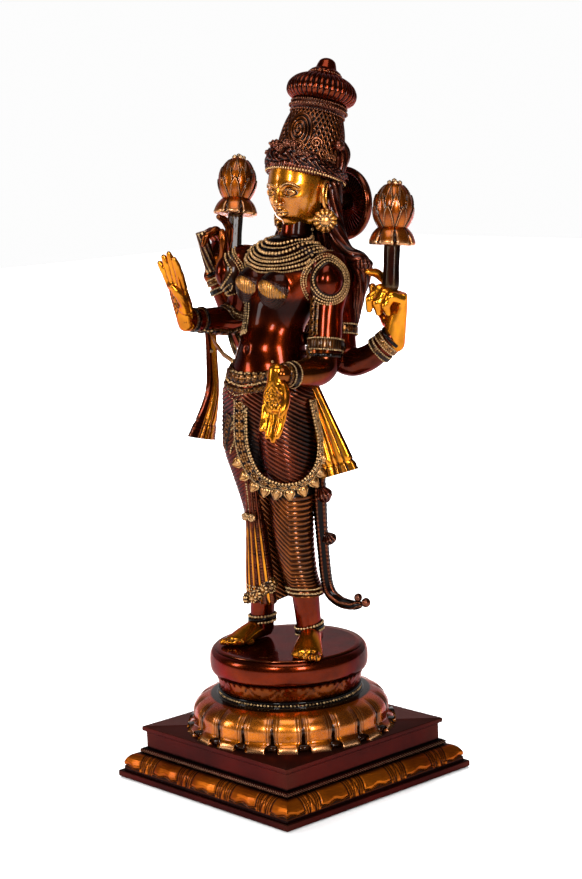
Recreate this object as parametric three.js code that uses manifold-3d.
// A standing four-armed Lakshmi in cast brass, on a round lotus pedestal and a square moulded plinth.
// Millimetres, +Z up. The origin is the centre of the plinth's underside, and the figure faces -Y.
import * as THREE from "three";
import { mergeVertices } from "three/addons/utils/BufferGeometryUtils.js";
import Module from "manifold-3d";

const wasm = await Module();
wasm.setup();

// Driving sizes
const seatGap = 0.3; // clearance between castings that stand on each other
const plinthSide = 262;
const footingHeight = 7;
const ovoloHeight = 18; // the petal-carved round above the footing
const ovoloSetback = 4;
const ovoloReach = 13; // how far the round draws in
const filletHeight = 6; // the beaded fillet
const blockSide = 217;
const blockHeight = 17;
const lipHeight = 6;
const lipReach = 3;
const petalCount = 20;
const petalRingRadius = 106;
const petalRingHeight = 36;
const petalDepth = 9; // depth of the valleys between petals
const neckRadius = 72; // waist of the pedestal, which carries the bead ring
const neckHeight = 16;
const drumRadius = 82.5;
const drumHeight = 33;
const figureHeight = 598; // feet to the knob of the crown
const crownRibs = 13;

const plinthHeight = footingHeight + ovoloHeight + filletHeight + blockHeight + lipHeight;
const pedestalHeight = petalRingHeight + neckHeight + drumHeight;
const pedestalBottom = plinthHeight + seatGap;
const figureBottom = pedestalBottom + pedestalHeight + seatGap;

// The figure is laid out in shares of its height: one share is a 598th of it.
const shares = 598;
const share = figureHeight / shares;

const lacquer = new THREE.MeshStandardMaterial({ color: 0x4a1710, roughness: 0.22, metalness: 0.6 });
const petalBrass = new THREE.MeshStandardMaterial({ color: 0xa86420, roughness: 0.3, metalness: 0.8 });
const darkLacquer = new THREE.MeshStandardMaterial({ color: 0x3a1a18, roughness: 0.3, metalness: 0.5 });

const turn = Math.PI * 2;
const radians = THREE.MathUtils.degToRad;
const smooth = THREE.MathUtils.smoothstep;
const vec = (p) => new THREE.Vector3(p[0], p[1], p[2]);

// Closed three.js geometry to a solid, without the seams and the faces that collapse at the poles.
function solidOf(geometry) {
  const bare = new THREE.BufferGeometry();
  bare.setAttribute("position", geometry.getAttribute("position"));
  bare.setIndex(geometry.getIndex());
  const merged = mergeVertices(bare, 1e-3);
  const kept = [];
  const index = merged.getIndex().array;
  for (let i = 0; i < index.length; i += 3) {
    const [a, b, c] = [index[i], index[i + 1], index[i + 2]];
    if (a !== b && b !== c && c !== a) kept.push(a, b, c);
  }
  const vertProperties = new Float32Array(merged.getAttribute("position").array);
  const triVerts = new Uint32Array(kept);
  return new wasm.Manifold(new wasm.Mesh({ numProp: 3, vertProperties, triVerts }));
}

function fuse(solids) {
  return solids.reduce((sum, next) => sum.add(next));
}

function geometryOf(solid) {
  const mesh = solid.getMesh();
  const geometry = new THREE.BufferGeometry();
  geometry.setAttribute("position", new THREE.BufferAttribute(new Float32Array(mesh.vertProperties), 3));
  geometry.setIndex(new THREE.BufferAttribute(new Uint32Array(mesh.triVerts), 1));
  geometry.computeVertexNormals();
  return geometry;
}

// Catmull-Rom between the rows of a table, each row a centre, a half width and a half depth.
function between(rows, u) {
  const place = u * (rows.length - 1);
  const i = Math.min(Math.floor(place), rows.length - 2);
  const t = place - i;
  const pick = (k) => rows[Math.min(Math.max(k, 0), rows.length - 1)];
  const [p, q, r, s] = [pick(i - 1), pick(i), pick(i + 1), pick(i + 2)];
  return q.map((_, k) => 0.5 * (2 * q[k] + (r[k] - p[k]) * t
    + (2 * p[k] - 5 * q[k] + 4 * r[k] - s[k]) * t * t
    + (3 * q[k] - p[k] - 3 * r[k] + s[k]) * t * t * t));
}

// A closed body along rows of [x, y, z, half width, half depth]. wide is the way its width lies,
// relief(u, angle) is a factor on the section, lift(u, angle) moves a ring's points along the body,
// and tips rounds each end by a share of its radius.
// A band [from, to, proud] is a raised ring between two shares of the length.
function limb(rows, { sides = 7, rings = 6, wide = [1, 0, 0], relief = null, lift = null, tips = [0, 0], bands = [] } = {}) {
  const raised = new Map();
  for (let i = 0; i <= rings; i += 1) raised.set(i / rings, 0);
  bands.forEach(([from, to, proud]) => {
    const crossed = [...raised.keys()].filter((u) => u > from - 0.03 && u < to + 0.03 && u > 0 && u < 1);
    crossed.forEach((u) => raised.delete(u));
    raised.set(from - 0.012, 0).set(from, proud).set(to, proud);
    if (to < 0.98) raised.set(to + 0.012, 0);
  });
  const stations = [...raised.keys()].sort((p, q) => p - q).filter((u) => u <= 1).map((u) => {
    const here = between(rows, u);
    const before = between(rows, Math.max(u - 0.01, 0));
    const after = between(rows, Math.min(u + 0.01, 1));
    const along = vec(after).sub(vec(before)).normalize();
    const proud = raised.get(u);
    return { u, centre: vec(here), a: here[3] + proud, b: (here[4] ?? here[3]) + proud, along };
  });
  const first = stations[0];
  const last = stations[stations.length - 1];
  const vertices = [];
  const ring = (station, scale, shift) => {
    const across = vec(wide).addScaledVector(station.along, -vec(wide).dot(station.along)).normalize();
    const deep = new THREE.Vector3().crossVectors(station.along, across);
    for (let j = 0; j < sides; j += 1) {
      const angle = (turn * j) / sides;
      const swell = scale * (relief ? relief(station.u, angle) : 1);
      const p = station.centre.clone().addScaledVector(station.along, shift + (lift ? lift(station.u, angle) : 0))
        .addScaledVector(across, station.a * swell * Math.cos(angle))
        .addScaledVector(deep, station.b * swell * Math.sin(angle));
      vertices.push(p.x, p.y, p.z);
    }
  };
  const reach = (station, tip) => tip * Math.min(station.a, station.b);
  const [low, high] = [reach(first, tips[0]), reach(last, tips[1])];
  if (low) ring(first, 0.7, -0.7 * low);
  stations.forEach((station) => ring(station, 1, 0));
  if (high) ring(last, 0.7, 0.7 * high);
  vertices.push(...first.centre.clone().addScaledVector(first.along, -low).toArray());
  vertices.push(...last.centre.clone().addScaledVector(last.along, high).toArray());
  const total = stations.length + (low ? 1 : 0) + (high ? 1 : 0);
  const [lowPole, highPole] = [total * sides, total * sides + 1];
  const index = [];
  for (let j = 0; j < sides; j += 1) {
    const k = (j + 1) % sides;
    index.push(lowPole, k, j);
    for (let i = 0; i < total - 1; i += 1) {
      const [a, b] = [i * sides, (i + 1) * sides];
      index.push(a + j, a + k, b + j, a + k, b + k, b + j);
    }
    index.push(highPole, (total - 1) * sides + j, (total - 1) * sides + k);
  }
  const geometry = new THREE.BufferGeometry();
  geometry.setAttribute("position", new THREE.BufferAttribute(new Float32Array(vertices), 3));
  geometry.setIndex(index);
  return solidOf(geometry);
}

function flipped(geometry) {
  const index = geometry.getIndex().array;
  for (let i = 0; i < index.length; i += 3) [index[i], index[i + 1]] = [index[i + 1], index[i]];
  return geometry;
}

function ball(centre, radii, across = 8, down = 6, spin = [0, 0, 0]) {
  const geometry = new THREE.SphereGeometry(1, across, down);
  geometry.rotateX(Math.PI / 2);
  geometry.scale(...radii);
  geometry.rotateX(radians(spin[0]));
  geometry.rotateY(radians(spin[1]));
  geometry.rotateZ(radians(spin[2]));
  geometry.translate(...centre);
  return solidOf(geometry);
}

// A turned body about +Z from [radius, height] pairs that run upwards from the axis to the axis.
// swell(angle, share of height) is a factor on the radius, and placed moves it where it belongs.
function turned(pairs, segments, { swell = null, start = 0, placed = new THREE.Matrix4() } = {}) {
  const points = pairs.map(([r, z]) => new THREE.Vector2(r, z));
  const geometry = new THREE.LatheGeometry(points, segments, start);
  geometry.rotateX(Math.PI / 2);
  if (swell) {
    const position = geometry.getAttribute("position");
    for (let i = 0; i < position.count; i += 1) {
      const [x, y, z] = [position.getX(i), position.getY(i), position.getZ(i)];
      const factor = swell((Math.atan2(y, x) + turn) % turn, z);
      position.setXY(i, x * factor, y * factor);
    }
  }
  geometry.applyMatrix4(placed);
  const made = solidOf(geometry);
  return made.volume() > 0 ? made : solidOf(flipped(geometry));
}

// Plinth: footing, petal-carved round, beaded fillet, plain block and lip, all square on plan
function plinth() {
  const half = plinthSide / 2;
  const block = blockSide / 2;
  const roundBottom = half - ovoloSetback;
  const roundTop = roundBottom - ovoloReach;
  const pairs = [[0, 0], [half - 1, 0], [half, 1.5], [half, footingHeight], [roundBottom, footingHeight]];
  for (let i = 0; i <= 4; i += 1) {
    const angle = (Math.PI / 2) * (i / 4);
    pairs.push([roundTop + ovoloReach * Math.cos(angle), footingHeight + 2 + (ovoloHeight - 2) * Math.sin(angle)]);
  }
  const filletBottom = footingHeight + ovoloHeight;
  const blockBottom = filletBottom + filletHeight;
  const lipBottom = blockBottom + blockHeight;
  pairs.push([roundTop - 1, filletBottom + 0.1], [roundTop + 1, filletBottom + filletHeight / 2]);
  pairs.push([roundTop - 1, blockBottom - 0.1], [block, blockBottom], [block, lipBottom]);
  pairs.push([block + lipReach, lipBottom + 1.5], [block + lipReach, plinthHeight], [0, plinthHeight]);
  return turned(pairs.map(([r, z]) => [r * Math.SQRT2, z]), 4, { start: Math.PI / 4 });
}

// Pedestal: a ring of broad petals, a bead ring at the waist and the drum that the figure stands on
function pedestal() {
  const r = petalRingRadius;
  const h = petalRingHeight;
  const lobes = (angle, z) => {
    const part = ((angle / turn) * petalCount) % 1;
    const valley = Math.max(0, 1 - Math.min(part, 1 - part) * 5);
    return 1 - (petalDepth / r) * valley * (1 - smooth(z, h * 0.55, h)) * smooth(z, -1, 1);
  };
  const petals = [[0, 0], [r * 0.99, 0], [r, h * 0.06], [r * 0.965, h * 0.22], [r * 0.955, h * 0.5]];
  petals.push([r * 0.88, h * 0.83], [r * 0.74, h], [0, h + 0.1]);
  const top = h + neckHeight + drumHeight;
  const d = drumRadius;
  const drum = [[0, h * 0.5], [neckRadius, h * 0.5], [neckRadius + 3, h + 3], [neckRadius, h + 6]];
  drum.push([neckRadius + 3, h + neckHeight], [d - 2, h + neckHeight + 5], [d, h + neckHeight + drumHeight * 0.45]);
  drum.push([d - 2, top - 4], [d - 9, top], [0, top]);
  const made = fuse([turned(petals, petalCount * 2, { swell: lobes }), turned(drum, 18)]);
  return made.translate(0, 0, pedestalBottom);
}

// Everything below is the figure, in shares of its height, with z from the top of the drum.
const neckRows = [[10, 19, 400, 18, 17], [10.5, 25, 426, 15.5, 15.5], [10.5, 30, 452, 15, 16]];
const torsoRows = [
  [2, -13, 236, 40, 28], [2, -13, 250, 52, 36], [2, -12, 266, 58, 43], [2, -10, 290, 44, 36],
  [3, -8, 308, 38, 32], [3, -4, 334, 34, 28], [6, 4, 362, 44, 31], [8, 12, 388, 56, 29],
  [9, 16, 408, 53, 24], [9, 18, 420, 26, 19],
];
// The wrapped cloth: at each height the sections of her left leg, her right leg and the fall between
// them, each as x, y, half width and half depth.
const garmentRows = [
  [266, 25, -12, 29, 34, -20, -12, 29, 34, 2, -12, 20, 36],
  [235, 31, -14, 29, 34, -26, -13, 29, 35, 2, -14, 20, 38],
  [207, 32, -15, 28, 32, -27, -14, 28, 32, 2, -14, 16, 34],
  [172, 33, -16, 24, 26, -27, -8, 24.5, 26, 2, -14, 14, 31],
  [142, 33, -17, 22, 23, -28, -2, 21, 22, 1, -12, 14, 30],
  [110, 33, -15, 20, 21, -29, 2, 18.5, 19, 0, -10, 14, 32],
  [78, 34, -10, 18, 19, -31, 4, 16.5, 17, -2, -8, 18, 31],
  [50, 36, -5, 18.5, 19, -34, 2, 16.5, 17.5, -3, -6, 22, 31],
];
const armFrontLeft = [
  [63, 18, 396, 20, 20], [69, 14, 376, 19.5, 20], [71, 6, 350, 16.5, 16.5], [75, -4, 298, 16, 16],
  [80, -34, 293, 14, 14], [82, -66, 297, 10, 9.5],
];
const armBackLeft = [
  [58, 34, 388, 17, 17], [62, 34, 350, 15, 15], [70, 24, 296, 16, 16], [98, 33, 302, 13.5, 13.5],
  [122, 46, 322, 10, 9.5],
];
const armFrontRight = [
  [-54, 20, 402, 20, 20], [-60, 17, 380, 19, 20], [-67, 16, 354, 16, 16], [-74, 14, 336, 15, 15],
  [-75, -18, 337, 14, 14], [-76, -52, 341, 10.5, 10],
];
const armBackRight = [
  [-48, 32, 392, 17, 17], [-60, 40, 358, 15, 15], [-84, 38, 308, 14.5, 14.5], [-98, 26, 346, 13, 13],
  [-110, 16, 382, 10, 9.5],
];

// How far an ellipse reaches from the origin along a direction, or zero where it is missed
function reachOf(x, y, a, b, angle) {
  const [dx, dy] = [Math.cos(angle) / a, Math.sin(angle) / b];
  const [ox, oy] = [x / a, y / b];
  const p = dx * dx + dy * dy;
  const q = dx * ox + dy * oy;
  const d = q * q - p * (ox * ox + oy * oy - 1);
  return d > 0 ? (q + Math.sqrt(d)) / p : 0;
}

const garmentSides = 24;
const garmentRings = 7;
function garment() {
  const vertices = [];
  const index = [];
  const n = garmentSides;
  for (let i = 0; i <= garmentRings; i += 1) {
    const row = between(garmentRows, i / garmentRings);
    const legs = [row.slice(1, 5), row.slice(5, 9), row.slice(9, 13)];
    const centre = [(legs[0][0] + legs[1][0]) / 2, (legs[0][1] + legs[1][1]) / 2];
    for (let j = 0; j < n; j += 1) {
      const angle = (turn * j) / n;
      const r = Math.max(...legs.map(([x, y, a, b]) => reachOf(x - centre[0], y - centre[1], a, b, angle)));
      const fold = 1 + 0.03 * (j % 2 ? 1 : -1);
      vertices.push(centre[0] + r * fold * Math.cos(angle), centre[1] + r * fold * Math.sin(angle), row[0]);
    }
  }
  const middle = (k) => {
    vertices.push(3, -8, vertices[k * n * 3 + 2]);
    return vertices.length / 3 - 1;
  };
  const [top, bottom] = [middle(0), middle(garmentRings)];
  for (let j = 0; j < n; j += 1) {
    const k = (j + 1) % n;
    index.push(top, j, k);
    for (let i = 0; i < garmentRings; i += 1) {
      const [a, b] = [i * n, (i + 1) * n];
      index.push(a + j, b + j, a + k, a + k, b + j, b + k);
    }
    index.push(bottom, garmentRings * n + k, garmentRings * n + j);
  }
  const geometry = new THREE.BufferGeometry();
  geometry.setAttribute("position", new THREE.BufferAttribute(new Float32Array(vertices), 3));
  geometry.setIndex(index);
  return solidOf(geometry);
}

// The belt sits high at the back and droops below the belly in front.
const drooping = (u, angle) => 13 * Math.sin(angle) * smooth(u, 0.1, 0.25) * (1 - smooth(u, 0.38, 0.55));

function trunk() {
  const shins = [
    [[33, -4, 62, 13, 13], [32, 0, 32, 11, 11.5], [33, 2, 8, 11, 12]],
    [[-35, 1, 62, 12, 12.5], [-37, -1, 32, 11, 11.5], [-38, -2, 8, 11, 12]],
  ];
  return [
    limb(torsoRows, { sides: 12, rings: 8, bands: [[0.2, 0.38, 4]], lift: drooping }),
    garment(),
    limb(neckRows, { sides: 7, rings: 2 }),
    ball([21, -11, 371], [21, 20, 22], 8, 5),
    ball([-15, -9, 374], [21, 20, 22], 8, 5),
    ...shins.map((rows) => limb(rows, { rings: 2, bands: [[0.72, 0.84, 3]] })),
    limb(armFrontLeft, { sides: 6, rings: 5, bands: [[0.38, 0.46, 3], [0.92, 1, 2.5]] }),
    limb(armFrontRight, { sides: 6, rings: 4, bands: [[0.38, 0.46, 3], [0.9, 0.98, 2]] }),
    limb(armBackLeft, { sides: 6, rings: 4, bands: [[0.86, 1, 2.5]] }),
    limb(armBackRight, { sides: 6, rings: 4, bands: [[0.88, 1, 2.5]] }),
  ];
}

// A hand at a wrist: fingers point along reach, the palm faces palm, and the thumb is on the side thumb.
// size is a factor on the whole hand, and curls holds how far each joint of the fingers bends.
function hand(wrist, reach, palm, curls, thumb, size) {
  const along = vec(reach).normalize();
  const face = vec(palm).addScaledVector(along, -vec(palm).dot(along)).normalize();
  const side = new THREE.Vector3().crossVectors(along, face).multiplyScalar(thumb);
  const at = (a, s, f) => vec(wrist).addScaledVector(along, a * size).addScaledVector(side, s * size)
    .addScaledVector(face, f * size);
  const row = (p, a, b) => [p.x, p.y, p.z, a * size, b * size];
  const wide = side.toArray();
  const made = [limb([row(at(-4, 0, 0), 9, 8), row(at(12, 1, 0), 13.5, 8), row(at(34, 0, 0), 14, 5.5)],
    { sides: 6, rings: 3, wide })];
  const lengths = [30, 34, 31, 25];
  lengths.forEach((length, i) => {
    const spread = 10.4 - 6.9 * i;
    let p = at(30, spread, 0.5);
    let bend = 0;
    const rows = [row(p, 4.4, 4.2)];
    [0.42, 0.32, 0.26].forEach((part, joint) => {
      bend += curls[i][joint];
      const way = along.clone().multiplyScalar(Math.cos(radians(bend))).addScaledVector(face, Math.sin(radians(bend)))
        .addScaledVector(side, (spread / 90) * Math.cos(radians(bend)));
      p = p.clone().addScaledVector(way, length * part * size);
      rows.push(row(p, 4 - 0.45 * joint, 3.8 - 0.45 * joint));
    });
    made.push(limb(rows, { sides: 4, rings: bend > 60 ? 3 : 2, wide, tips: [0, bend > 60 ? 0 : 0.8] }));
  });
  const thumbRows = [row(at(9, 9, 1), 6, 5.5), row(at(21, 16, 7), 4.8, 4.6), row(at(35, 15, 13), 3.4, 3.4)];
  made.push(limb(thumbRows, { sides: 4, rings: 2, wide: face.toArray(), tips: [0, 0.8] }));
  return made;
}

const open = [[4, 4, 4], [2, 3, 3], [3, 4, 4], [5, 6, 6]];
const hanging = [[8, 8, 6], [4, 5, 5], [6, 8, 8], [10, 12, 10]];
const holding = [[20, 35, 25], [62, 70, 45], [68, 75, 50], [74, 78, 50]];

function hands() {
  return [
    ...hand([82, -69, 294], [-0.03, -0.1, -1], [-0.25, -1, 0], hanging, -1, 1),
    ...hand([-76, -55, 343], [-0.02, -0.24, 1], [-0.15, -1, -0.2], open, 1, 1.12),
    ...hand([124, 47, 325], [0.1, 0.02, 1], [-0.35, -1, 0], holding, -1, 1.3),
    ...hand([-111, 17, 384], [0.14, 0.32, 1], [-0.1, -1, 0.2], holding, 1, 1.15),
  ];
}

const footSize = 0.9;
function foot(heel, heading, big) {
  const way = new THREE.Vector3(Math.sin(radians(heading)), -Math.cos(radians(heading)), 0);
  const side = new THREE.Vector3(way.y, -way.x, 0).multiplyScalar(big);
  const at = (a, s, z) => vec(heel).addScaledVector(way, a * footSize).addScaledVector(side, s * footSize).setZ(z * footSize);
  const row = (p, a, b) => [p.x, p.y, p.z, a * footSize, b * footSize];
  const made = [limb([
    row(at(-8, 0, 10), 9.5, 9.5), row(at(6, 0, 12), 12, 12), row(at(26, 0, 10), 14, 10), row(at(46, 0, 6.5), 16.5, 6.5),
  ], { sides: 7, rings: 3, wide: side.toArray(), tips: [0.6, 0] })];
  for (let i = 0; i < 5; i += 1) {
    const size = footSize * (1 - 0.09 * i);
    const p = at(52 - i * i * 0.9 - i * 0.8, 11.5 - 6.4 * i, 5.2 * (1 - 0.09 * i));
    made.push(ball(p.toArray(), [4.4 * size, 9 * size, 5.2 * size], 5, 3, [0, 0, heading]));
  }
  return made;
}

// Head: an egg with a simple face, ears with long lobes and round ear flowers
const headCentre = [10, 31, 466];
function head() {
  const c = (x, y, z) => [headCentre[0] + x, headCentre[1] + y, headCentre[2] + z];
  const egg = [[...c(0, -4, -28), 16, 19], [...c(0, -2, -16), 26, 28.5], [...c(0, 0, 2), 30, 33], [...c(0, 3, 22), 29, 33],
    [...c(0, 6, 38), 17, 21]];
  const made = [
    limb(egg, { sides: 12, rings: 5, tips: [0.4, 0] }),
    limb([[...c(0, -31, 9), 3, 3], [...c(0, -35, -1), 3.4, 4], [...c(0, -37, -9), 4.6, 4.5]], { sides: 4, rings: 2 }),
    ball(c(0, -28, -18.5), [8, 7, 3.8], 6, 4),
    ball(c(0, -23, -27), [9, 8, 5.5], 6, 4),
  ];
  [-1, 1].forEach((s) => {
    made.push(ball(c(12 * s, -27, 2), [7, 5, 3.6], 6, 4));
    made.push(ball(c(29.5 * s, 7, -2), [5, 7, 18], 6, 4));
    const lie = new THREE.Matrix4().makeTranslation(...c(34 * s, 3, -28))
      .multiply(new THREE.Matrix4().makeRotationZ(radians(-40 * s)))
      .multiply(new THREE.Matrix4().makeRotationY(radians(90 * s)));
    const flower = [[0, -6], [9, -6], [12.5, 0], [8, 3.5], [0, 5]];
    made.push(turned(flower, 12, { swell: (a) => 1 + 0.07 * Math.cos(6 * a), placed: lie }));
  });
  return made;
}

// Crown: diadem, tapering cap, ribbed dome and knob on an axis that leans back, and the disc behind the head
const crownFoot = [10, 43, 487];
const crownLean = -18;
function crown() {
  const placed = new THREE.Matrix4().makeTranslation(...crownFoot)
    .multiply(new THREE.Matrix4().makeRotationX(radians(crownLean)));
  const cap = [[0, 2], [34, 2], [33, 24], [31, 42], [26, 61], [28, 66], [24, 71], [0, 71.5]];
  const dome = [[0, 70], [25, 70.5], [34.5, 76], [36, 84], [30, 94], [15, 100], [0, 100.5]];
  const knob = [[0, 97], [15, 99], [15, 104], [10, 108], [8, 114], [0, 118]];
  const rib = (angle, z) => 1 + 0.05 * smooth(z, 73, 77) * Math.cos(crownRibs * angle);
  const discPlace = new THREE.Matrix4().makeTranslation(10, 96, 451)
    .multiply(new THREE.Matrix4().makeRotationX(radians(90 - 4)));
  const disc = [[0, -5], [34, -5], [38, 0], [33, 4.5], [31, 2], [0, 2]];
  return [
    turned(cap, 12, { placed }),
    turned(dome, crownRibs * 2, { swell: rib, placed }),
    turned(knob, 8, { placed }),
    diadem(placed),
    turned(disc, 12, { placed: discPlace }),
    limb([[10, 56, 464, 9, 9], [10, 96, 452, 8, 8]], { sides: 5, rings: 1 }),
  ];
}

// How much the diadem rises at an angle about the crown: a scalloped peak over the forehead
function crestRise(angle) {
  const fromFront = Math.cos((angle + Math.PI / 2) / 2);
  return 1.15 * fromFront ** 6 * (0.8 + 0.2 * Math.cos(angle * 10));
}

function diadem(placed) {
  const base = -8;
  const pairs = [[30, base], [39, base], [43, base + 9], [41, base + 17], [32, base + 17], [30, base]];
  const band = new THREE.LatheGeometry(pairs.map(([r, z]) => new THREE.Vector2(r, z)), 20);
  band.rotateX(Math.PI / 2);
  const position = band.getAttribute("position");
  for (let i = 0; i < position.count; i += 1) {
    const angle = Math.atan2(position.getY(i), position.getX(i));
    position.setZ(i, base + (position.getZ(i) - base) * (0.6 + crestRise(angle)));
  }
  band.applyMatrix4(placed);
  const made = solidOf(band);
  return made.volume() > 0 ? made : solidOf(flipped(band));
}

// Curls and tassels of hair behind the ears and on the back of the shoulders, and the plait down the back
function hair() {
  const made = [
    limb([[10, 52, 492, 22, 14], [10, 62, 462, 26, 14], [10, 56, 425, 26, 12], [9, 52, 395, 22, 10], [7, 46, 360, 18, 9],
      [5, 28, 318, 10, 8]], { sides: 7, rings: 4 }),
  ];
  [-1, 1].forEach((s) => {
    made.push(limb([[10 + 32 * s, 50, 474, 9, 9], [10 + 32 * s, 48, 440, 9, 9], [10 + 48 * s, 44, 408, 10, 8],
      [10 + 68 * s, 50, 392, 10, 10], [10 + 66 * s, 46, 362, 6, 6], [10 + 62 * s, 42, 334, 4, 4]],
    { sides: 5, rings: 4 }));
    made.push(limb([[10 + 22 * s, 66, 514, 6, 6], [10 + 31 * s, 64, 502, 8, 8], [10 + 31 * s, 50, 478, 7, 7]],
      { sides: 5, rings: 2, tips: [0.7, 0] }));
  });
  return made;
}

// A lotus bud on its stalk, with turned-down petals under it
function lotus(bottom, top) {
  const axis = vec(top).sub(vec(bottom));
  const way = new THREE.Quaternion().setFromUnitVectors(new THREE.Vector3(0, 0, 1), axis.clone().normalize());
  const placed = new THREE.Matrix4().compose(vec(top), way, new THREE.Vector3(1, 1, 1));
  const bud = [[0, -25], [11, -24], [19, -12], [20, 2], [15, 14], [5, 21], [0, 22]];
  const petals = (a, z) => 1 + 0.05 * Math.cos(a * 5) * smooth(z, -24, -10);
  const calyx = [[0, -40], [20, -41], [25, -39], [18, -27], [10, -21], [0, -20]];
  const turnedDown = (a, z) => 1 - 0.25 * (1 - smooth(z, -36, -26)) * (0.5 - 0.5 * Math.cos(a * 5));
  const low = axis.length();
  return [
    turned(bud, 10, { swell: petals, placed }),
    turned(calyx, 10, { swell: turnedDown, placed }),
    turned([[0, -low], [8, -low], [7.5, -38], [0, -36]], 6, { placed }),
  ];
}

function lotuses() {
  return [
    ...lotus([125, 42, 372], [124, 51, 455]),
    ...lotus([-97, 32, 396], [-103, 49, 481]),
    // the cut end of the right stalk, which stands up beside the fist
    limb([[-109, 12, 384, 6, 6], [-113, 4, 426, 6, 6]], { sides: 6, rings: 1 }),
  ];
}

// The broad collar and the polished shoulder plates
function ornaments() {
  const made = [ball([9, 12, 414], [32, 25, 9], 8, 4, [20, 0, 0])];
  [[armFrontLeft[1], 1], [armFrontRight[1], -1]].forEach(([c, s]) => {
    made.push(ball([c[0] + 6 * s, c[1] - 8, c[2] + 3], [15, 21, 25], 8, 4));
  });
  return made;
}

// Cloth: the front fall of pleats, the swag over the thigh, the scarf ends and the side sash
function cloth() {
  const folds = (count) => (u, angle) => 1 + 0.1 * Math.cos(angle * count);
  const fall = [[1, -38, 190, 8, 8], [-1, -36, 120, 13, 8], [-3, -32, 70, 19, 8], [-4, -31, 50, 20, 8]];
  const swag = [[4, -50, 262, 5, 4], [4, -52, 224, 5, 4], [14, -51, 190, 5, 4.5], [36, -47, 177, 5.5, 4.5],
    [56, -32, 180, 5, 4], [64, -12, 205, 5, 4], [60, -8, 262, 5, 4]];
  const scarfRight = [[-78, -20, 334, 9, 4], [-78, -20, 300, 8, 4.5], [-78, -22, 260, 11, 5], [-84, -34, 214, 24, 6]];
  const scarfLeft = [[48, 0, 272, 10, 8], [57, 4, 248, 11, 8], [67, 8, 216, 15, 8], [76, 10, 186, 20, 8]];
  const sash = [[52, 4, 205, 8, 6], [54, 2, 160, 8, 6], [54, 4, 110, 7, 6], [57, 6, 68, 7, 6], [68, 12, 50, 7, 6],
    [92, 25, 50, 5, 5]];
  return [
    limb(fall, { sides: 12, rings: 2, relief: folds(6) }),
    limb(swag, { sides: 3, rings: 8, wide: [0, 0, 1] }),
    limb(scarfRight, { sides: 8, rings: 3, wide: [-0.2, 1, 0.1], relief: folds(4) }),
    limb(scarfLeft, { sides: 8, rings: 3, wide: [0.75, 0.55, 0.1], relief: folds(4) }),
    limb(sash, { sides: 4, rings: 8, wide: [0.4, 1, 0] }),
    ball([58, 4, 164], [9, 8, 9], 6, 4),
    ball([60, 6, 118], [8, 7, 7], 6, 4),
  ];
}

function figure() {
  const parts = [
    ...trunk(), ...hands(), ...foot([34, 2, 0], 40, -1), ...foot([-38, -2, 0], 4, 1), ...head(), ...crown(),
    ...hair(), ...lotuses(), ...ornaments(), ...cloth(),
  ];
  const whole = fuse(parts);
  const floor = whole.boundingBox().min[2];
  return whole.translate(0, 0, -floor).scale(share).translate(0, 0, figureBottom);
}

const lakshmi = new THREE.Group();
const add = (name, solid, material) => {
  const mesh = new THREE.Mesh(geometryOf(solid), material);
  mesh.name = name;
  lakshmi.add(mesh);
};
add("plinth", plinth(), darkLacquer);
add("lotus_pedestal", pedestal(), petalBrass);
add("figure", figure(), lacquer);

export default lakshmi;
